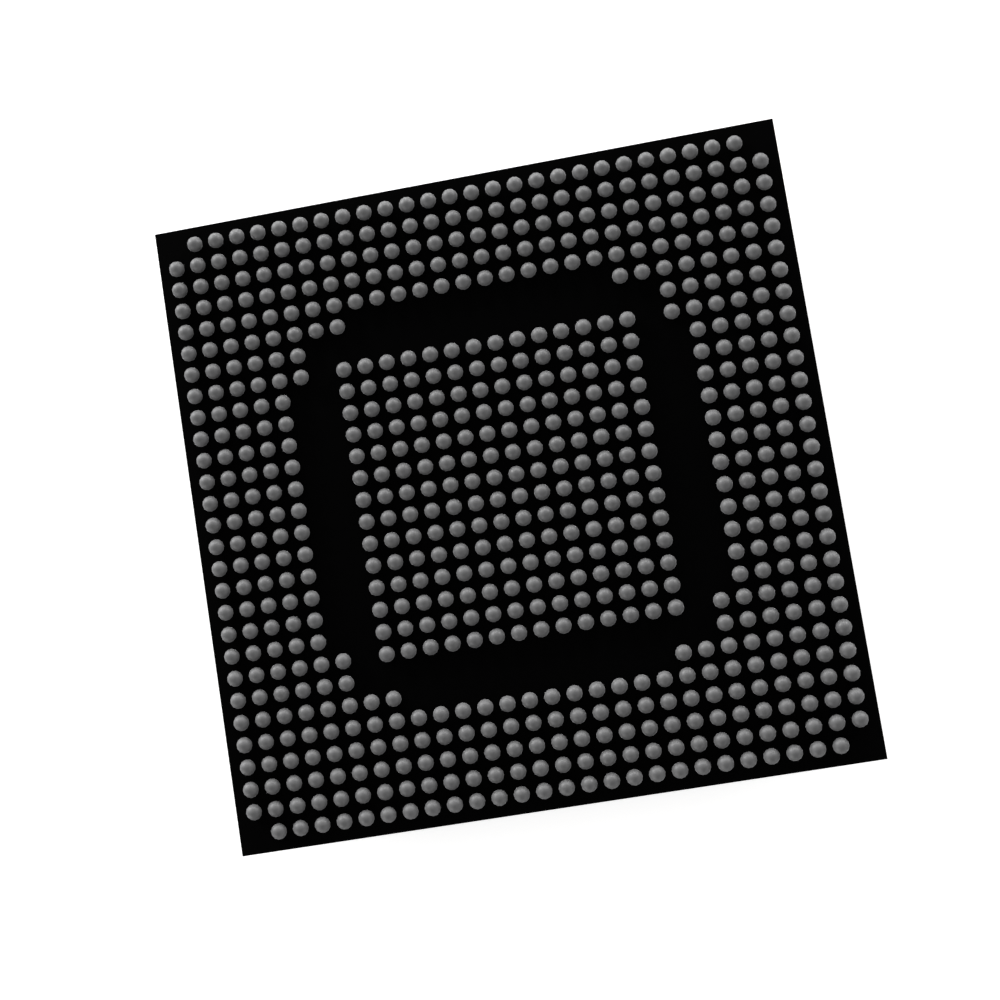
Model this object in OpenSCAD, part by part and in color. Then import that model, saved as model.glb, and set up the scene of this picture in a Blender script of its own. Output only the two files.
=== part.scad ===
// Moulded ball grid array package: wire-bonded die on a laminate substrate, ball side up.
// The part lies on the marking face of its mould cap at z = 0, and the solder balls point up.

/* [Ball grid] */
// Distance between the centres of neighbouring balls
pitch = 0.8; // [0.75:0.01:0.85]
// Places along each side of the grid
grid_n = 28; // [26:2:30]
// Full rows of balls round the outside
outer_rows = 5; // [4:1:5]
// Places from the edge that the short extra row at each inner corner reaches
corner_reach = 8; // [6:1:8]
// Balls along each side of the centre block
centre_n = 14; // [8:2:14]

/* [Solder balls] */
// Diameter of a reflowed ball
ball_d = 0.575; // [0.5:0.005:0.62]
// Mask opening that a ball wets
opening_d = 0.4; // [0.35:0.01:0.44]
// Copper land below a signal ball
land_d = 0.5; // [0.47:0.01:0.56]

/* [Substrate] */
// From the outermost ball centres to the edge of the substrate
edge_margin = 0.7; // [0.5:0.05:1]
// Thickness of the laminate core
core_t = 0.47; // [0.27:0.02:0.67]
// Thickness of the copper on either face of the core
copper_t = 0.025; // [0.015:0.005:0.035]
// Thickness of the mask over the copper
mask_cover = 0.02; // [0.015:0.005:0.03]
// Diameter of the plated and filled via below a signal land
via_d = 0.15; // [0.1:0.01:0.25]
// Diameter of a thermal via
thermal_via_d = 0.2; // [0.15:0.01:0.3]
// Thermal vias along each side of the field below the die, an odd number
thermal_n = 9; // [5:2:9]

/* [Die] */
// Side of the square die
die_w = 7; // [6.8:0.1:7.4]
// Thickness of the die
die_t = 0.28; // [0.2:0.01:0.35]
// Thickness of the epoxy that holds the die
attach_t = 0.03; // [0.02:0.005:0.05]
// How far the epoxy creeps out past the die
attach_creep = 0.12; // [0.05:0.01:0.2]

/* [Bonding copper] */
// How far the die paddle reaches past the die
paddle_lip = 0.3; // [0.25:0.05:0.5]
// Width of the ground ring and of the power ring
ring_w = 0.25; // [0.2:0.01:0.3]
// Gap between paddle, rings and fingers
copper_gap = 0.2; // [0.15:0.01:0.3]
// Length of a bond finger
finger_l = 1.2; // [0.8:0.1:1.4]
// Width of a bond finger
finger_w = 0.1; // [0.08:0.01:0.11]
// Distance between bond fingers where the wires land
finger_pitch = 0.18; // [0.17:0.005:0.19]
// From a finger's inner end to where its wire lands
finger_land = 0.25; // [0.2:0.05:0.35]
// From a finger's inner end to the edge of the mask
finger_bare = 0.5; // [0.4:0.05:0.7]

/* [Bond wires] */
// Wires on each side of the die
side_wires = 48; // [40:2:50]
// Distance between the bond pads on the die
pad_pitch = 0.13; // [0.11:0.005:0.135]
// From the edge of the die to the centres of its pads
pad_inset = 0.1; // [0.08:0.01:0.14]
// Diameter of the wire
wire_d = 0.025; // [0.018:0.001:0.033]
// Diameter of the ball bond on the die
bond_d = 0.06; // [0.05:0.005:0.08]
// Height of the ball bond
bond_h = 0.035; // [0.03:0.005:0.045]
// Rise of a wire to a finger, from its ball bond to its knee
finger_loop_h = 0.2; // [0.12:0.01:0.3]
// Rise of a wire to a ring, from its ball bond to its knee
ring_loop_h = 0.1; // [0.06:0.01:0.12]

/* [Mould cap] */
// Height of the cap from the mask to the marking face
cap_h = 1.17; // [0.9:0.01:1.4]
// Bare edge of the substrate round the cap
flange_w = 1.75; // [1:0.05:2.2]
// Slope of the cap's sides from upright, in degrees
cap_draft = 30; // [5:1:35]
// Cut across three of the cap's corners, measured along a side
corner_cut = 1.2; // [0.6:0.1:2]
// Cut across the corner where the compound enters
gate_cut = 2.4; // [1.5:0.1:3.5]
// Diameter of the dimple that marks the first ball's corner
dimple_d = 1; // [0.6:0.1:1.5]
// Depth of the dimple
dimple_depth = 0.1; // [0.05:0.01:0.2]
// From the sides of the marking face to the centre of the dimple
dimple_inset = 2; // [1.8:0.1:3]
// Width of the bare plated strip that the compound's runner crosses
gate_pad_w = 1.6; // [1:0.1:2]

/* [Tracks] */
// Width of the tracks from the fingers to the signal vias
track_w = 0.08; // [0.05:0.01:0.09]
// From a column of vias to the tracks that pass it
track_lane = 0.25; // [0.23:0.01:0.3]
// Diameter of the pads on the vias' die side ends
via_pad_d = 0.3; // [0.25:0.01:0.33]

/* [Hidden] */
$fn = 32;
row_letters = "abcdefghjklmnprtuvwy";
sides = ["north", "west", "south", "east"];
every_nth = 8;      // one wire in eight lands on each ring
ground_turn = 2;
power_turn = 6;
group_n = every_nth / 2; // places in the line of fingers that share a column of vias
over = 1;           // how far a cutting shape runs past what it cuts

mask_t = copper_t + mask_cover;
body_w = (grid_n - 1) * pitch + 2 * edge_margin;
centre_first = (grid_n - centre_n) / 2;
centre_plane_w = centre_n * pitch;

// Levels, from the marking face up to the ball tips
z_mask = cap_h;                   // outer face of the die side mask
z_bond = z_mask + mask_cover;     // bare face of the bonding copper
z_core = z_mask + mask_t;
z_land = z_core + core_t;         // ball side face of the core
z_foot = z_land + copper_t;       // where the balls stand
z_open = z_land + mask_t;         // outer face of the ball side mask
ball_rise = sqrt(pow(ball_d / 2, 2) - pow(opening_d / 2, 2));

// Half widths of the bonding copper, from the die outwards
paddle_half = die_w / 2 + paddle_lip;
ground_half = paddle_half + copper_gap;
power_half = ground_half + ring_w + copper_gap;
finger_half = power_half + ring_w + copper_gap;
window_half = finger_half + finger_bare;

pad_x = die_w / 2 - pad_inset;
die_face = attach_t + die_t;      // height of the die's pads over the bonding copper
wire_past = 4 * wire_d;           // how far a wire runs past its knee and its landing before it is cut there

cap_half = body_w / 2 - flange_w;
cap_lean = cap_h * tan(cap_draft);

// Grid rules: a place is counted from the edges, and row 0 lies furthest along +Y

function ball_row_name(row) = let (n = len(row_letters))
    str("balls_row_", row < n ? row_letters[row] : str(row_letters[0], row_letters[row - n]));

function place(i) = (i - (grid_n - 1) / 2) * pitch;

function from_edge(i) = min(i, grid_n - 1 - i);

function in_centre(row, col) = min(from_edge(row), from_edge(col)) >= centre_first;

function in_border(row, col) =
    let (near = min(from_edge(row), from_edge(col)), far = max(from_edge(row), from_edge(col)))
    !in_centre(row, col)
    && ((near < outer_rows && far > 0) || (near == outer_rows && far < corner_reach));

module at_places(rows, centre, border) {
    for (row = rows)
        for (col = [0:grid_n - 1])
            if ((centre && in_centre(row, col)) || (border && in_border(row, col)))
                translate([place(col), -place(row)]) children();
}

module at_sides() {
    for (side = [0:3]) rotate([0, 0, 90 * (side + 1)]) children();
}

module below(z) {
    translate([0, 0, z]) mirror([0, 0, 1]) children();
}

module square_ring(inner_half, width) {
    difference() {
        square(2 * (inner_half + width), center = true);
        square(2 * inner_half, center = true);
    }
}

// Solder balls

module ball() {
    intersection() {
        translate([0, 0, ball_rise]) sphere(d = ball_d);
        cylinder(d = 2 * ball_d, h = ball_d);
    }
    translate([0, 0, -mask_cover]) cylinder(d = opening_d, h = mask_cover);
}

module ball_row(row) {
    color("#8a8a8c") translate([0, 0, z_open]) at_places([row], true, true) ball();
}

// Copper on the ball side, and the mask over it

module signal_lands() {
    color("#c98d4b") translate([0, 0, z_land])
        linear_extrude(copper_t) at_places([0:grid_n - 1], false, true) circle(d = land_d);
}

module centre_plane() {
    color("#c98d4b") translate([0, 0, z_land])
        linear_extrude(copper_t) square(centre_plane_w, center = true);
}

module ball_side_mask() {
    color("#101112") {
        translate([0, 0, z_land]) linear_extrude(copper_t) difference() {
            square(body_w, center = true);
            square(centre_plane_w, center = true);
            at_places([0:grid_n - 1], false, true) circle(d = land_d);
        }
        translate([0, 0, z_foot]) linear_extrude(mask_cover) difference() {
            square(body_w, center = true);
            at_places([0:grid_n - 1], true, true) circle(d = opening_d);
        }
    }
}

// Laminate core and the vias through it

module thermal_places() {
    for (x = [0:thermal_n - 1], y = [0:thermal_n - 1])
        translate([x - (thermal_n - 1) / 2, y - (thermal_n - 1) / 2] * pitch) children();
}

module substrate_core() {
    color("#6b5f34") translate([0, 0, z_core]) linear_extrude(core_t) difference() {
        square(body_w, center = true);
        at_places([0:grid_n - 1], false, true) circle(d = via_d);
        thermal_places() circle(d = thermal_via_d);
    }
}

module signal_vias() {
    color("#c98d4b") translate([0, 0, z_core])
        linear_extrude(core_t) at_places([0:grid_n - 1], false, true) circle(d = via_d);
}

module thermal_vias() {
    color("#c98d4b") translate([0, 0, z_core])
        linear_extrude(core_t) thermal_places() circle(d = thermal_via_d);
}

// Bonding copper on the die side, and the mask round it

function landing_x(i) =
    i % every_nth == ground_turn ? ground_half + ring_w / 2
    : i % every_nth == power_turn ? power_half + ring_w / 2
    : finger_half + finger_land;

function on_finger(i) = landing_x(i) > finger_half;

// Wires fan out, so each has its own heading from its pad to its place in the line of fingers
function centred(i) = i - (side_wires - 1) / 2;

function finger_reach() = finger_half + finger_land - pad_x;

function heading(i) = atan2(centred(i) * (finger_pitch - pad_pitch), finger_reach());

module fingers_outline() {
    at_sides() for (i = [0:side_wires - 1]) if (on_finger(i))
        translate([landing_x(i), centred(i) * finger_pitch]) rotate(heading(i))
            translate([-finger_land, -finger_w / 2]) square([finger_l, finger_w]);
}

// Three fingers share each column of vias: one runs straight to its first via, and one passes on either side
function lane(i) = i % group_n == 0 ? -1 : i % group_n == 1 ? 0 : 1;

function rows_passed(i) = (lane(i) + 3) % 3;

function column(i) = floor(i / group_n) + floor((grid_n - side_wires / group_n) / 2);

function past_finger(i, d) =
    [landing_x(i), centred(i) * finger_pitch]
    + (finger_l - finger_land + d) * [cos(heading(i)), sin(heading(i))];

function track_line(i, start) =
    let (
        first_x = place(grid_n - outer_rows),
        via = [first_x + rows_passed(i) * pitch, place(column(i))],
        lane_y = via[1] + lane(i) * track_lane
    )
    concat(
        [past_finger(i, start), past_finger(i, track_w), [first_x - pitch / 2, lane_y]],
        lane(i) == 0 ? [] : [[via[0] - track_lane, lane_y]],
        [via]
    );

function heading_at(line, k) = (line[k] - line[k - 1]) / norm(line[k] - line[k - 1]);

// The line moved sideways, with its bends mitred
function beside(line, d) =
    [for (k = [0:len(line) - 1])
        let (before = heading_at(line, max(k, 1)), after = heading_at(line, min(k + 1, len(line) - 1)))
        line[k] + d * [-before[1] - after[1], before[0] + after[0]] / (1 + before * after)];

module track(line) {
    left = beside(line, track_w / 2);
    right = beside(line, -track_w / 2);
    polygon(concat(left, [for (k = [len(right) - 1:-1:0]) right[k]]));
}

// The tracks begin at the fingers' ends, or further back inside them where start is below 0. The gate's strip
// takes the place of the pads below it
module tracks_outline(start) {
    at_sides() for (i = [0:side_wires - 1]) if (on_finger(i)) track(track_line(i, start));
    difference() {
        at_places([0:grid_n - 1], false, true) circle(d = via_pad_d);
        gate_outline();
    }
}

// The gate's strip runs outwards from the cut corner of the cap to the corner of the substrate
module gate_outline() {
    intersection() {
        rotate(45) translate([0, -gate_pad_w / 2]) square([body_w, gate_pad_w]);
        square(2 * (body_w / 2 - copper_gap), center = true);
        rotate(45) translate([(2 * cap_half - gate_cut) / sqrt(2), -body_w / 2]) square(body_w);
    }
}

module bonding_layer() {
    color("#d8b25a") translate([0, 0, z_bond]) linear_extrude(copper_t) children();
}

module die_paddle() {
    bonding_layer() square(2 * paddle_half, center = true);
}

module ground_ring() {
    bonding_layer() square_ring(ground_half, ring_w);
}

module power_ring() {
    bonding_layer() square_ring(power_half, ring_w);
}

module bond_fingers() {
    bonding_layer() fingers_outline();
}

module signal_tracks() {
    color("#c98d4b") translate([0, 0, z_bond]) linear_extrude(copper_t) tracks_outline(0);
}

module gate_pad() {
    bonding_layer() gate_outline();
}

module die_side_mask() {
    color("#101112") {
        translate([0, 0, z_mask]) linear_extrude(mask_cover) difference() {
            square(body_w, center = true);
            square(2 * window_half, center = true);
            gate_outline();
        }
        translate([0, 0, z_bond]) linear_extrude(copper_t) difference() {
            square(body_w, center = true);
            square(2 * paddle_half, center = true);
            square_ring(ground_half, ring_w);
            square_ring(power_half, ring_w);
            fingers_outline();
            tracks_outline(-track_w);
            gate_outline();
        }
    }
}

// Die, its epoxy and its wires hang below the bonding copper

module die_attach() {
    color("#9a9a94") below(z_bond) linear_extrude(attach_t) square(die_w + 2 * attach_creep, center = true);
}

module die() {
    color("#5b6470") below(z_bond - attach_t) linear_extrude(die_t) square(die_w, center = true);
}

// All that lies on one side of the knee's mitre: the neck's side is -1 and the run's side is 1
module mitre_half(slope, side) {
    rotate([0, (slope - 90) / 2, 0]) translate([side * body_w / 2, 0, 0]) cube(body_w, center = true);
}

// A wire stands up from its ball bond at x = 0, bends at its knee and slopes down to its landing at x = span
module wire(span, loop_h) {
    knee_z = die_face + bond_h + loop_h;
    slope = atan2(knee_z, span);
    neck_l = loop_h + bond_h / 2;
    run_l = norm([span, knee_z]);
    translate([0, 0, knee_z]) {
        intersection() {
            translate([0, 0, -neck_l]) cylinder(d = wire_d, h = neck_l + wire_past);
            mitre_half(slope, -1);
        }
        intersection() {
            rotate([0, 90 + slope, 0]) translate([0, 0, -wire_past])
                cylinder(d = wire_d, h = run_l + 2 * wire_past);
            mitre_half(slope, 1);
        }
    }
    translate([0, 0, die_face]) cylinder(d = bond_d, h = bond_h);
}

module wires_of_side(side) {
    below(z_bond) rotate([0, 0, 90 * (side + 1)]) difference() {
        for (i = [0:side_wires - 1])
            translate([pad_x, centred(i) * pad_pitch]) rotate([0, 0, heading(i)])
                wire((landing_x(i) - pad_x) / cos(heading(i)), on_finger(i) ? finger_loop_h : ring_loop_h);
        translate([0, -body_w / 2, -over]) cube([body_w, body_w, over]);
    }
}

module bond_wires(side) {
    color("#e0b84c") wires_of_side(side);
}

// Mould cap

// A bar along Y whose sides lean in towards the marking face by the draft
module leaning_bar(half, lean) {
    rotate([90, 0, 0]) linear_extrude(2 * body_w, center = true)
        polygon([[-half, cap_h], [half, cap_h], [half - lean, 0], [lean - half, 0]]);
}

// The same across the corners, with more cut off the corner on its +X side
module corner_bar(low_cut, high_cut) {
    low = sqrt(2) * cap_half - low_cut / sqrt(2);
    high = sqrt(2) * cap_half - high_cut / sqrt(2);
    rotate([90, 0, 0]) linear_extrude(2 * body_w, center = true)
        polygon([[-low, cap_h], [high, cap_h], [high - cap_lean, 0], [cap_lean - low, 0]]);
}

module mould_cap() {
    color("#17181a") difference() {
        union() {
            intersection() {
                leaning_bar(cap_half, cap_lean);
                rotate([0, 0, 90]) leaning_bar(cap_half, cap_lean);
                rotate([0, 0, 45]) corner_bar(corner_cut, gate_cut);
                rotate([0, 0, 135]) corner_bar(corner_cut, corner_cut);
            }
            translate([0, 0, z_mask]) linear_extrude(mask_cover) square(2 * window_half, center = true);
        }
        translate([1, 1, 0] * (cap_half - cap_lean - dimple_inset))
            cylinder(d = dimple_d, h = 2 * dimple_depth, center = true);
        die_attach();
        die();
        for (side = [0:3]) wires_of_side(side);
    }
}

mould_cap();
ball_side_mask();
for (side = [0:3]) bond_wires(side);
die_side_mask();
signal_tracks();
signal_vias();
signal_lands();
substrate_core();
bond_fingers();
thermal_vias();
centre_plane();
die_paddle();
ground_ring();
power_ring();
gate_pad();
die_attach();
die();
for (row = [0:grid_n - 1]) ball_row(row);
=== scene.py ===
import math
import random

import bpy
from mathutils import Euler, Matrix, Vector


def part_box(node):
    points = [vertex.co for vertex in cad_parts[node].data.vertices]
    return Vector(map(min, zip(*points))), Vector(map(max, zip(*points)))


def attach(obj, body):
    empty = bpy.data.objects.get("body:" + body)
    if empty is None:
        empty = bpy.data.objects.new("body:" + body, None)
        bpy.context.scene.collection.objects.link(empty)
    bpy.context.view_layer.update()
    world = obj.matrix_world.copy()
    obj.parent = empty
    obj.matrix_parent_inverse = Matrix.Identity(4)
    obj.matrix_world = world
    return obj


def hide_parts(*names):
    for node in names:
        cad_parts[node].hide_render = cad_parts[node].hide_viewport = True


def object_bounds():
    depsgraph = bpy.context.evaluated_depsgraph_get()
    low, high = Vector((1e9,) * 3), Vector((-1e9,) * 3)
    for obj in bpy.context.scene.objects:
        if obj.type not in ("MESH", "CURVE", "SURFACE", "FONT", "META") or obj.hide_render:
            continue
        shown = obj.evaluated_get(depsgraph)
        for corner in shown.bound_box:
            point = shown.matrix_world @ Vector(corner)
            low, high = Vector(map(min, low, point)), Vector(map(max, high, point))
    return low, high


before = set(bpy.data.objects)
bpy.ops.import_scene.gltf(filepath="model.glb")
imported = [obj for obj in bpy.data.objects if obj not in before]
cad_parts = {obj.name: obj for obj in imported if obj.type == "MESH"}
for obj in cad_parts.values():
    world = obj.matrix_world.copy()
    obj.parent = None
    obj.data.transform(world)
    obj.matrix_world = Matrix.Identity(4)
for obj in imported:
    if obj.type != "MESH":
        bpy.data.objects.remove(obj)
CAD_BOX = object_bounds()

bl_info = {
    "name": "Ball Grid Array Package",
    "version": (1, 0, 0),
    "blender": (4, 5, 0),
    "location": "View3D > Sidebar > Package",
    "description": "Dresses a moulded ball grid array package and sets up its studio",
    "category": "Object",
}

MM = 0.001
NEAR = 1e-7
SAME_LEVEL = MM * 0.002
BALL_ROWS = [name for name in sorted(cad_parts) if name.startswith("balls_row_")]
TOP = CAD_BOX[1].z


# Places measured on the frame


def heights(node):
    """Lowest and highest z of a node."""
    low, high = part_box(node)
    return low.z, high.z


def corner_reach(node, z, x_sign, y_sign):
    """How far a node reaches towards one corner at height z, as the largest sum of its two distances."""
    points = [v.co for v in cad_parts[node].data.vertices if abs(v.co.z - z) < SAME_LEVEL]
    return max(p.x * x_sign + p.y * y_sign for p in points)


def side_reach(node, z):
    """How far a node reaches along +X at height z."""
    return max(v.co.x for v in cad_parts[node].data.vertices if abs(v.co.z - z) < SAME_LEVEL)


MASK_FACE = heights("ball_side_mask")[1]
BALL_LOW, BALL_HIGH = heights(BALL_ROWS[0])
BALL_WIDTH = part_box(BALL_ROWS[0])[1].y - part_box(BALL_ROWS[0])[0].y
ROW_MIDDLES = sorted((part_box(row)[0].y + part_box(row)[1].y) / 2 for row in BALL_ROWS)
PITCH = (ROW_MIDDLES[-1] - ROW_MIDDLES[0]) / (len(ROW_MIDDLES) - 1)
CAP_FOOT = heights("die_side_mask")[0]


# Each low softbox by name, direction in degrees from +X and power
SOFTBOXES = (
    ("back_softbox", 90, 3.0),
    ("left_softbox", 135, 5.0),
    ("right_softbox", 45, 3.1),
    ("front_softbox", 225, 1.4),
    ("near_softbox", 315, 0.4),
)


# Settings


class StudioSettings(bpy.types.PropertyGroup):
    floor_size: bpy.props.FloatProperty(
        name="Floor", description="Side of the pale floor", default=3.0, unit="LENGTH"
    )
    floor_colour: bpy.props.FloatVectorProperty(
        name="Floor colour", description="Colour of the floor", subtype="COLOR", default=(0.86, 0.86, 0.86)
    )
    floor_glow: bpy.props.FloatProperty(
        name="Floor glow", description="Light that the floor adds for the camera", default=0.68
    )
    fill: bpy.props.FloatProperty(
        name="Fill", description="Strength of the even light from all round", default=0.38
    )
    aim: bpy.props.FloatVectorProperty(
        name="Aim",
        description="Point between the balls that the camera looks at",
        subtype="TRANSLATION",
        unit="LENGTH",
        default=(-0.3276 * MM, -0.4286 * MM, TOP - BALL_WIDTH / 2),
    )
    turn: bpy.props.FloatVectorProperty(
        name="Turn",
        description="Camera angles about X, Y and Z",
        subtype="EULER",
        default=(math.radians(4.81), math.radians(6.374), math.radians(-9.066)),
    )
    distance: bpy.props.FloatProperty(
        name="Distance", description="From the camera to its aim", unit="LENGTH", default=60.98 * MM
    )
    lens: bpy.props.FloatProperty(name="Lens", description="Focal length in millimetres", default=61.55)


class BallSettings(bpy.types.PropertyGroup):
    segments: bpy.props.IntProperty(name="Segments", description="Sides of a ball's outline", default=12)
    rings: bpy.props.IntProperty(name="Rings", description="Bands from pole to pole", default=6)
    spread: bpy.props.FloatProperty(
        name="Spread", description="How much the balls differ in width, as a share", default=0.008
    )
    colour: bpy.props.FloatVectorProperty(
        name="Solder",
        description="Colour of the reflowed solder",
        subtype="COLOR",
        default=(0.119, 0.119, 0.1205),
    )


class PackageSettings(bpy.types.PropertyGroup):
    cap_round: bpy.props.FloatProperty(
        name="Cap edge", description="Radius of the mould cap's edges", default=0.1 * MM, unit="LENGTH"
    )
    mask_colour: bpy.props.FloatVectorProperty(
        name="Mask",
        description="Colour of the solder mask",
        subtype="COLOR",
        default=(0.0004, 0.0004, 0.000428),
    )
    compound_colour: bpy.props.FloatVectorProperty(
        name="Compound",
        description="Colour of the mould compound",
        subtype="COLOR",
        default=(0.014, 0.014, 0.015),
    )


# Modelling helpers


def start_clean():
    """Leaves edit mode and deselects everything, so that the next tool acts on its own piece alone."""
    if bpy.context.object and bpy.context.object.mode != "OBJECT":
        bpy.ops.object.mode_set(mode="OBJECT")
    bpy.ops.object.select_all(action="DESELECT")


def make_active(piece):
    """Selects one piece alone and makes it the active one."""
    start_clean()
    piece.select_set(True)
    bpy.context.view_layer.objects.active = piece


def settle(piece):
    """Moves a piece's place, turn and scale into its mesh."""
    make_active(piece)
    bpy.ops.object.transform_apply(location=True, rotation=True, scale=True)


def unpick(piece, kind):
    """Deselects all of a piece and picks by vertex, edge or face from now on."""
    make_active(piece)
    bpy.ops.object.mode_set(mode="EDIT")
    bpy.ops.mesh.select_mode(type=kind)
    bpy.ops.mesh.select_all(action="DESELECT")
    bpy.ops.object.mode_set(mode="OBJECT")


# Material helpers


def add_node(tree, kind, place, **settings):
    """A shader node at its place in the editor, with its own settings."""
    made = tree.nodes.new(kind)
    made.location = place
    for name, value in settings.items():
        setattr(made, name, value)
    return made


def set_inputs(made, **values):
    """Sets a node's sockets by name, with an underscore for each blank."""
    for name, value in values.items():
        made.inputs[name.replace("_", " ")].default_value = value


def seen_or_mirrored(tree):
    """1 for rays from the camera, from gloss and through glass, and 0 for rays that only light."""
    path = add_node(tree, "ShaderNodeLightPath", (-1000, 0))
    found = path.outputs["Is Camera Ray"]
    for step, ray in enumerate(("Is Glossy Ray", "Is Transmission Ray")):
        largest = add_node(tree, "ShaderNodeMath", (-800 + 170 * step, 0), operation="MAXIMUM")
        tree.links.new(found, largest.inputs[0])
        tree.links.new(path.outputs[ray], largest.inputs[1])
        found = largest.outputs["Value"]
    return found


def surface_grain():
    """Node group: uneven shade and height of a fine-grained surface, from coarse cloud and fine grain."""
    name = "surface_grain"
    if name in bpy.data.node_groups:
        return bpy.data.node_groups[name]
    tree = bpy.data.node_groups.new(name, "ShaderNodeTree")
    face = tree.interface
    face.new_socket("Vector", in_out="INPUT", socket_type="NodeSocketVector")
    for label, value in (("Cloud Scale", 400.0), ("Grain Scale", 9000.0), ("Grain Share", 0.5)):
        socket = face.new_socket(label, in_out="INPUT", socket_type="NodeSocketFloat")
        socket.default_value = value
    face.new_socket("Shade", in_out="OUTPUT", socket_type="NodeSocketFloat")
    face.new_socket("Height", in_out="OUTPUT", socket_type="NodeSocketFloat")
    inward = add_node(tree, "NodeGroupInput", (-600, 0))
    outward = add_node(tree, "NodeGroupOutput", (400, 0))
    cloud = add_node(tree, "ShaderNodeTexNoise", (-350, 150))
    set_inputs(cloud, Detail=3.0, Roughness=0.55)
    grain = add_node(tree, "ShaderNodeTexNoise", (-350, -150))
    set_inputs(grain, Detail=2.0, Roughness=0.6)
    blend = add_node(tree, "ShaderNodeMix", (0, 50), data_type="FLOAT")
    tree.links.new(inward.outputs["Vector"], cloud.inputs["Vector"])
    tree.links.new(inward.outputs["Vector"], grain.inputs["Vector"])
    tree.links.new(inward.outputs["Cloud Scale"], cloud.inputs["Scale"])
    tree.links.new(inward.outputs["Grain Scale"], grain.inputs["Scale"])
    tree.links.new(inward.outputs["Grain Share"], blend.inputs["Factor"])
    tree.links.new(cloud.outputs["Fac"], blend.inputs["A"])
    tree.links.new(grain.outputs["Fac"], blend.inputs["B"])
    tree.links.new(blend.outputs["Result"], outward.inputs["Shade"])
    tree.links.new(grain.outputs["Fac"], outward.inputs["Height"])
    return tree


def new_finish(name):
    """A material with object coordinates, one surface_grain group and a Principled shader."""
    material = bpy.data.materials.new(name)
    material.use_nodes = True
    tree = material.node_tree
    tree.nodes.clear()
    coords = add_node(tree, "ShaderNodeTexCoord", (-1000, 0))
    grain = add_node(tree, "ShaderNodeGroup", (-800, 0), node_tree=surface_grain())
    shader = add_node(tree, "ShaderNodeBsdfPrincipled", (200, 0))
    out = add_node(tree, "ShaderNodeOutputMaterial", (500, 0))
    tree.links.new(coords.outputs["Object"], grain.inputs["Vector"])
    tree.links.new(shader.outputs["BSDF"], out.inputs["Surface"])
    return material, tree, coords, grain, shader


def link_colours(tree, factor, shader, dark, light):
    """Base colour that runs from dark to light with a 0 to 1 factor."""
    ramp = add_node(tree, "ShaderNodeValToRGB", (-450, 200))
    ramp.color_ramp.elements[0].position = 0.3
    ramp.color_ramp.elements[0].color = (*dark, 1)
    ramp.color_ramp.elements[1].position = 0.7
    ramp.color_ramp.elements[1].color = (*light, 1)
    tree.links.new(factor, ramp.inputs["Fac"])
    tree.links.new(ramp.outputs["Color"], shader.inputs["Base Color"])
    return ramp


def link_roughness(tree, factor, shader, low, high):
    """Roughness that runs from low to high with a 0 to 1 factor."""
    span = add_node(tree, "ShaderNodeMapRange", (-450, -50))
    set_inputs(span, From_Min=0.3, From_Max=0.7, To_Min=low, To_Max=high)
    tree.links.new(factor, span.inputs["Value"])
    tree.links.new(span.outputs["Result"], shader.inputs["Roughness"])


def link_bump(tree, height, shader, depth, strength):
    """Small relief that follows a height."""
    bump = add_node(tree, "ShaderNodeBump", (-200, -250))
    set_inputs(bump, Strength=strength, Distance=depth)
    tree.links.new(height, bump.inputs["Height"])
    tree.links.new(bump.outputs["Normal"], shader.inputs["Normal"])


def shades(colour, spread):
    """A darker and a lighter colour round the one given."""
    return [c * (1 - spread) for c in colour], [c * (1 + spread) for c in colour]


def grained_finish(name, colour, spread, rough, metallic=0.0, specular=0.5, cloud=400, grain_scale=9000,
                   depth=0.002 * MM, strength=0.3):
    """A finish whose shade, roughness and height vary with the surface grain."""
    material, tree, _, grain, shader = new_finish(name)
    set_inputs(grain, Cloud_Scale=cloud, Grain_Scale=grain_scale)
    dark, light = shades(colour, spread)
    link_colours(tree, grain.outputs["Shade"], shader, dark, light)
    link_roughness(tree, grain.outputs["Shade"], shader, *rough)
    link_bump(tree, grain.outputs["Height"], shader, depth, strength)
    set_inputs(shader, Metallic=metallic, Specular_IOR_Level=specular)
    return material


def laminate_finish():
    """Sawn laminate: bundles of glass cloth in layers through its thickness, with fine saw marks."""
    material, tree, coords, grain, shader = new_finish("sawn_laminate")
    set_inputs(grain, Cloud_Scale=900.0, Grain_Scale=16000.0)
    stretch = add_node(tree, "ShaderNodeMapping", (-800, -350))
    set_inputs(stretch, Scale=(1.0, 1.0, 6.0))
    bundles = add_node(tree, "ShaderNodeTexNoise", (-600, -350))
    set_inputs(bundles, Scale=1500.0, Detail=2.0, Roughness=0.5)
    tree.links.new(coords.outputs["Object"], stretch.inputs["Vector"])
    tree.links.new(stretch.outputs["Vector"], bundles.inputs["Vector"])
    link_colours(tree, bundles.outputs["Fac"], shader, (0.055, 0.042, 0.018), (0.17, 0.135, 0.062))
    link_roughness(tree, grain.outputs["Shade"], shader, 0.6, 0.8)
    link_bump(tree, bundles.outputs["Fac"], shader, 0.01 * MM, 0.5)
    return material


def wear_only(node, material):
    """Gives a carried-over node its finish."""
    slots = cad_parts[node].data.materials
    slots.clear()
    slots.append(material)


# Pieces


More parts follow.
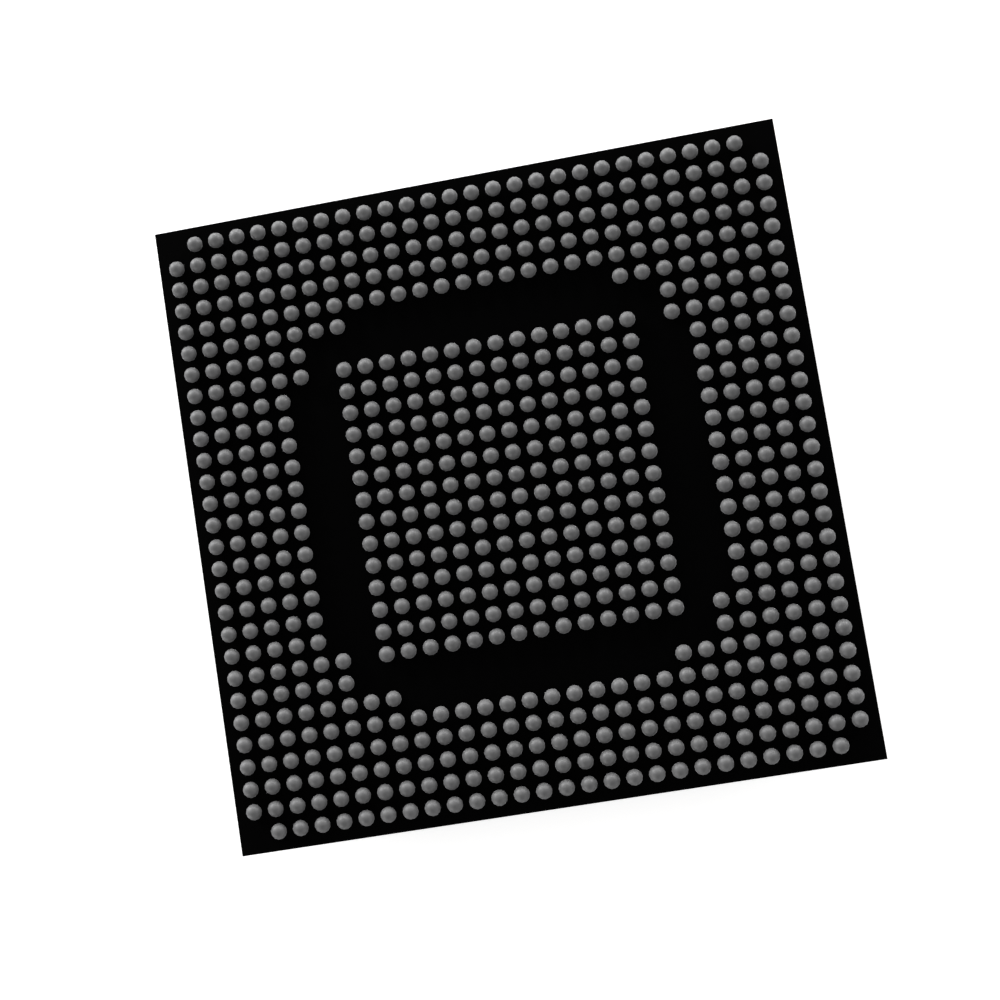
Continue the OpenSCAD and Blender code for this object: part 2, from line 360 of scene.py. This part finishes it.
def ball_pattern(settings):
    """One reflowed ball at the origin: a sphere that meets the mask's opening and narrows to its land."""
    start_clean()
    middle = BALL_HIGH - BALL_WIDTH / 2
    half_side = math.pi / settings.segments
    even_round = half_side / math.sin(half_side)
    bpy.ops.mesh.primitive_uv_sphere_add(
        segments=settings.segments, ring_count=settings.rings, radius=BALL_WIDTH / 2, location=(0, 0, middle)
    )
    ball = bpy.context.object
    ball.scale = (even_round, even_round, 1)
    settle(ball)
    bpy.ops.object.mode_set(mode="EDIT")
    bpy.ops.mesh.select_all(action="SELECT")
    bpy.ops.mesh.bisect(
        plane_co=(0, 0, BALL_LOW), plane_no=(0, 0, 1), use_fill=True, clear_inner=True, threshold=NEAR
    )
    unpick(ball, "VERT")
    opening = math.sqrt((BALL_WIDTH / 2) ** 2 - (middle - MASK_FACE) ** 2) * even_round
    ring = min((v.co for v in ball.data.vertices if v.co.z > MASK_FACE), key=lambda co: co.z)
    slope = (ring.xy.length - opening) / (ring.z - MASK_FACE)
    foot = [v for v in ball.data.vertices if v.co.z < BALL_LOW + NEAR]
    widen = (opening - slope * (MASK_FACE - BALL_LOW)) / foot[0].co.xy.length
    for vertex in foot:
        vertex.select = True
    bpy.ops.object.mode_set(mode="EDIT")
    bpy.ops.transform.resize(value=(widen, widen, 1))
    bpy.ops.object.mode_set(mode="OBJECT")
    bpy.ops.object.shade_smooth_by_angle(angle=math.radians(50))
    return ball


def ball_columns(row):
    """Places along a row that hold a ball, read from its node."""
    first = ROW_MIDDLES[0]
    return sorted({round((v.co.x - first) / PITCH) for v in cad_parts[row].data.vertices})


def ball_row(pattern, row, settings, chance):
    """A row of balls, each turned its own way and a little different in width."""
    y = (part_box(row)[0].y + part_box(row)[1].y) / 2
    balls = []
    for column in ball_columns(row):
        width = 1 + chance.uniform(-settings.spread, settings.spread)
        turn = Matrix.Rotation(chance.uniform(0, 2 * math.pi), 4, "Z")
        place = Matrix.Translation((ROW_MIDDLES[0] + column * PITCH, y, 0))
        mesh = pattern.data.copy()
        mesh.transform(place @ turn @ Matrix.Diagonal((width, width, 1, 1)))
        ball = bpy.data.objects.new("ball", mesh)
        bpy.context.collection.objects.link(ball)
        balls.append(ball)
    start_clean()
    for ball in balls:
        ball.select_set(True)
    bpy.context.view_layer.objects.active = balls[0]
    bpy.ops.object.join()
    piece = bpy.context.object
    piece.name = row.replace("balls_row", "solder_balls")
    return piece


def cut_corner(plane_point, plane_normal):
    """Cuts off what lies in front of a plane and closes the cut."""
    bpy.ops.mesh.select_all(action="SELECT")
    bpy.ops.mesh.bisect(
        plane_co=plane_point, plane_no=plane_normal, use_fill=True, clear_outer=True, threshold=NEAR
    )


def round_edges(piece, below, radius, segments):
    """Rounds every edge that reaches below a height, and leaves those that lie on it sharp."""
    unpick(piece, "EDGE")
    points = piece.data.vertices
    for edge in piece.data.edges:
        edge.select = min(points[i].co.z for i in edge.vertices) < below - radius
    bpy.ops.object.mode_set(mode="EDIT")
    bpy.ops.mesh.bevel(offset=radius, segments=segments, clamp_overlap=True)
    bpy.ops.object.mode_set(mode="OBJECT")


def dimple_tool(low, soften):
    """A short post with a softened end, as large as the first ball's dimple and at its place."""
    floor = [v.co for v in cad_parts["mould_cap"].data.vertices if MM * 0.02 < v.co.z - low < MM * 0.3]
    sides = [[getattr(co, axis) for co in floor] for axis in "xyz"]
    x, y, top = (min(sides[0]) + max(sides[0])) / 2, (min(sides[1]) + max(sides[1])) / 2, max(sides[2])
    start_clean()
    bpy.ops.mesh.primitive_cylinder_add(
        vertices=32, radius=(max(sides[0]) - min(sides[0])) / 2, depth=2 * (top - low), location=(x, y, low)
    )
    tool = bpy.context.object
    settle(tool)
    unpick(tool, "FACE")
    for polygon in tool.data.polygons:
        polygon.select = polygon.normal.z > 0.5
    bpy.ops.object.mode_set(mode="EDIT")
    bpy.ops.mesh.bevel(offset=soften, segments=2)
    bpy.ops.object.mode_set(mode="OBJECT")
    return tool


def cut_away(piece, tool):
    """Cuts a tool's shape out of a piece and clears the tool away."""
    make_active(piece)
    bpy.ops.object.modifier_add(type="BOOLEAN")
    piece.modifiers[-1].operation = "DIFFERENCE"
    piece.modifiers[-1].solver = "EXACT"
    piece.modifiers[-1].object = tool
    bpy.ops.object.modifier_apply(modifier=piece.modifiers[-1].name)
    bpy.data.objects.remove(tool)


def moulded_cap(settings):
    """The mould cap: a block with leaning sides, cut corners, rounded edges and the first ball's dimple."""
    low, high = heights("mould_cap")
    foot = side_reach("mould_cap", CAP_FOOT)
    face = side_reach("mould_cap", low)
    start_clean()
    bpy.ops.mesh.primitive_cube_add(size=1, location=(0, 0, (low + CAP_FOOT) / 2))
    cap = bpy.context.object
    cap.name = "moulded_cap"
    cap.scale = (2 * foot, 2 * foot, CAP_FOOT - low)
    settle(cap)
    unpick(cap, "FACE")
    for polygon in cap.data.polygons:
        polygon.select = polygon.normal.z < -0.5
    bpy.ops.object.mode_set(mode="EDIT")
    bpy.ops.transform.resize(value=(face / foot, face / foot, 1))
    lean = foot - face
    for x_sign, y_sign in ((1, 1), (1, -1), (-1, -1), (-1, 1)):
        reach = corner_reach("mould_cap", CAP_FOOT, x_sign, y_sign) / 2
        outward = Vector((x_sign, y_sign, -lean * math.sqrt(2) / (CAP_FOOT - low)))
        cut_corner((reach * x_sign, reach * y_sign, CAP_FOOT), outward.normalized())
    bpy.ops.object.mode_set(mode="OBJECT")
    round_edges(cap, CAP_FOOT, settings.cap_round, 3)
    cut_away(cap, dimple_tool(low, settings.cap_round / 4))
    make_active(cap)
    bpy.ops.object.shade_smooth_by_angle(angle=math.radians(35))
    return cap


def new_scene_piece(piece, material, nodes):
    """Gives a modelled piece its finish and puts it in the place of its nodes."""
    piece.data.materials.clear()
    piece.data.materials.append(material)
    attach(piece, "root")
    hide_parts(*nodes)


# Operators


class PACKAGE_OT_studio(bpy.types.Operator):
    """Sets the floor, the lamps, the world and the camera"""

    bl_idname = "package.studio"
    bl_label = "Studio"

    def execute(self, context):
        settings = context.scene.package_studio
        self.floor(settings)
        self.world(context.scene, settings)
        for name, azimuth, power in SOFTBOXES:
            self.lamp(name, azimuth, power)
        self.camera(context.scene, settings)
        context.scene.view_settings.view_transform = "Standard"
        return {"FINISHED"}

    def floor(self, settings):
        start_clean()
        bpy.ops.mesh.primitive_plane_add(size=settings.floor_size, location=(0, 0, 0))
        floor = bpy.context.object
        floor.name = "pale_floor"
        material = bpy.data.materials.new("pale_floor")
        material.use_nodes = True
        tree = material.node_tree
        tree.nodes.clear()
        matt = add_node(tree, "ShaderNodeBsdfDiffuse", (-200, 100))
        set_inputs(matt, Color=(*settings.floor_colour, 1))
        level = add_node(tree, "ShaderNodeMath", (-300, -100), operation="MULTIPLY")
        level.inputs[1].default_value = settings.floor_glow
        glow = add_node(tree, "ShaderNodeEmission", (-100, -100))
        both = add_node(tree, "ShaderNodeAddShader", (100, 0))
        out = add_node(tree, "ShaderNodeOutputMaterial", (300, 0))
        tree.links.new(seen_or_mirrored(tree), level.inputs[0])
        tree.links.new(level.outputs["Value"], glow.inputs["Strength"])
        tree.links.new(matt.outputs["BSDF"], both.inputs[0])
        tree.links.new(glow.outputs["Emission"], both.inputs[1])
        tree.links.new(both.outputs["Shader"], out.inputs["Surface"])
        floor.data.materials.append(material)

    def world(self, scene, settings):
        """Even grey light, seen as plain white behind the floor."""
        scene.world = bpy.data.worlds.new("studio")
        scene.world.use_nodes = True
        tree = scene.world.node_tree
        tree.nodes.clear()
        level = add_node(tree, "ShaderNodeMapRange", (-350, 0))
        set_inputs(level, To_Min=settings.fill, To_Max=1.0)
        light = add_node(tree, "ShaderNodeBackground", (-100, 0))
        out = add_node(tree, "ShaderNodeOutputWorld", (100, 0))
        tree.links.new(seen_or_mirrored(tree), level.inputs["Value"])
        tree.links.new(level.outputs["Result"], light.inputs["Strength"])
        set_inputs(light, Color=(1, 1, 1, 1))
        tree.links.new(light.outputs["Background"], out.inputs["Surface"])

    def lamp(self, name, azimuth, power, elevation=10, distance=0.6, size=0.25):
        """A square lamp that faces the package, with its direction in degrees from +X and from the floor."""
        turn = Euler((0, math.radians(90 - elevation), math.radians(azimuth)))
        place = Vector((0, 0, TOP)) + turn.to_matrix() @ Vector((0, 0, distance))
        start_clean()
        bpy.ops.object.light_add(type="AREA", location=place, rotation=turn)
        lamp = bpy.context.object
        lamp.name = name
        lamp.data.size = size
        lamp.data.energy = power

    def camera(self, scene, settings):
        turn = Euler(settings.turn)
        back = turn.to_matrix() @ Vector((0, 0, 1))
        start_clean()
        bpy.ops.object.camera_add(location=Vector(settings.aim) + back * settings.distance, rotation=turn)
        camera = bpy.context.object
        camera.name = "camera"
        camera.data.lens = settings.lens
        camera.data.clip_start = 0.001
        scene.camera = camera


class PACKAGE_OT_solder_balls(bpy.types.Operator):
    """Models the rows of reflowed solder balls"""

    bl_idname = "package.solder_balls"
    bl_label = "Solder balls"

    def execute(self, context):
        settings = context.scene.package_balls
        chance = random.Random(28)
        solder = grained_finish(
            "reflowed_solder", settings.colour, 0.07, (0.45, 0.6), metallic=0.25, specular=0.15,
            cloud=650, grain_scale=11000, depth=0.004 * MM, strength=0.35,
        )
        set_inputs(
            solder.node_tree.nodes["Principled BSDF"], Sheen_Weight=0.45, Sheen_Roughness=0.35,
            Sheen_Tint=(0.6, 0.6, 0.61, 1),
        )
        pattern = ball_pattern(settings)
        for row in BALL_ROWS:
            new_scene_piece(ball_row(pattern, row, settings, chance), solder, [row])
        bpy.data.objects.remove(pattern)
        return {"FINISHED"}


class PACKAGE_OT_mould_cap(bpy.types.Operator):
    """Models the moulded cap on the die side"""

    bl_idname = "package.mould_cap"
    bl_label = "Mould cap"

    def execute(self, context):
        settings = context.scene.package_body
        compound = grained_finish(
            "mould_compound", settings.compound_colour, 0.25, (0.5, 0.66), specular=0.35,
            cloud=500, grain_scale=14000, depth=0.004 * MM, strength=0.5,
        )
        new_scene_piece(moulded_cap(settings), compound, ["mould_cap"])
        return {"FINISHED"}


class PACKAGE_OT_substrate(bpy.types.Operator):
    """Finishes the substrate: its core and its solder masks"""

    bl_idname = "package.substrate"
    bl_label = "Substrate"

    def execute(self, context):
        settings = context.scene.package_body
        mask = grained_finish(
            "solder_mask", settings.mask_colour, 0.3, (0.6, 0.75), specular=0.01,
            cloud=300, grain_scale=7000, depth=0.002 * MM, strength=0.3,
        )
        wear_only("ball_side_mask", mask)
        wear_only("die_side_mask", mask)
        wear_only("substrate_core", laminate_finish())
        return {"FINISHED"}


class PACKAGE_OT_inner_pieces(bpy.types.Operator):
    """Finishes the copper, the plating, the die and the wires inside"""

    bl_idname = "package.inner_pieces"
    bl_label = "Inner pieces"

    def execute(self, context):
        copper = grained_finish("bare_copper", (0.62, 0.3, 0.17), 0.12, (0.3, 0.45), metallic=1.0)
        plating = grained_finish("gold_plating", (0.78, 0.55, 0.22), 0.08, (0.3, 0.42), metallic=1.0)
        wire = grained_finish("gold_wire", (0.85, 0.6, 0.22), 0.05, (0.2, 0.3), metallic=1.0)
        epoxy = grained_finish("die_epoxy", (0.5, 0.5, 0.47), 0.12, (0.4, 0.6))
        silicon = grained_finish("silicon", (0.06, 0.065, 0.08), 0.1, (0.15, 0.25), metallic=0.6)
        finishes = {
            copper: ["signal_lands", "signal_tracks", "signal_vias", "thermal_vias", "centre_plane"],
            plating: ["bond_fingers", "die_paddle", "ground_ring", "power_ring", "gate_pad"],
            wire: ["bond_wires_north", "bond_wires_west", "bond_wires_south", "bond_wires_east"],
            epoxy: ["die_attach"],
            silicon: ["die"],
        }
        for material, nodes in finishes.items():
            for node in nodes:
                wear_only(node, material)
        return {"FINISHED"}


class PACKAGE_PT_panel(bpy.types.Panel):
    """Lists the package's pieces and its studio"""

    bl_idname = "PACKAGE_PT_panel"
    bl_label = "Ball grid array package"
    bl_space_type = "VIEW_3D"
    bl_region_type = "UI"
    bl_category = "Package"

    def draw(self, context):
        for operator in OPERATORS:
            self.layout.operator(operator.bl_idname)


SETTINGS = {
    "package_studio": StudioSettings,
    "package_balls": BallSettings,
    "package_body": PackageSettings,
}
OPERATORS = (
    PACKAGE_OT_studio,
    PACKAGE_OT_solder_balls,
    PACKAGE_OT_mould_cap,
    PACKAGE_OT_substrate,
    PACKAGE_OT_inner_pieces,
)


def register():
    for cls in (*SETTINGS.values(), *OPERATORS, PACKAGE_PT_panel):
        bpy.utils.register_class(cls)
    for name, cls in SETTINGS.items():
        setattr(bpy.types.Scene, name, bpy.props.PointerProperty(type=cls))


def unregister():
    for name in SETTINGS:
        delattr(bpy.types.Scene, name)
    for cls in (PACKAGE_PT_panel, *reversed(OPERATORS), *reversed(SETTINGS.values())):
        bpy.utils.unregister_class(cls)


def main():
    register()
    bpy.ops.package.studio()
    bpy.ops.package.solder_balls()
    bpy.ops.package.mould_cap()
    bpy.ops.package.substrate()
    bpy.ops.package.inner_pieces()
    start_clean()


if __name__ == "__main__":
    main()
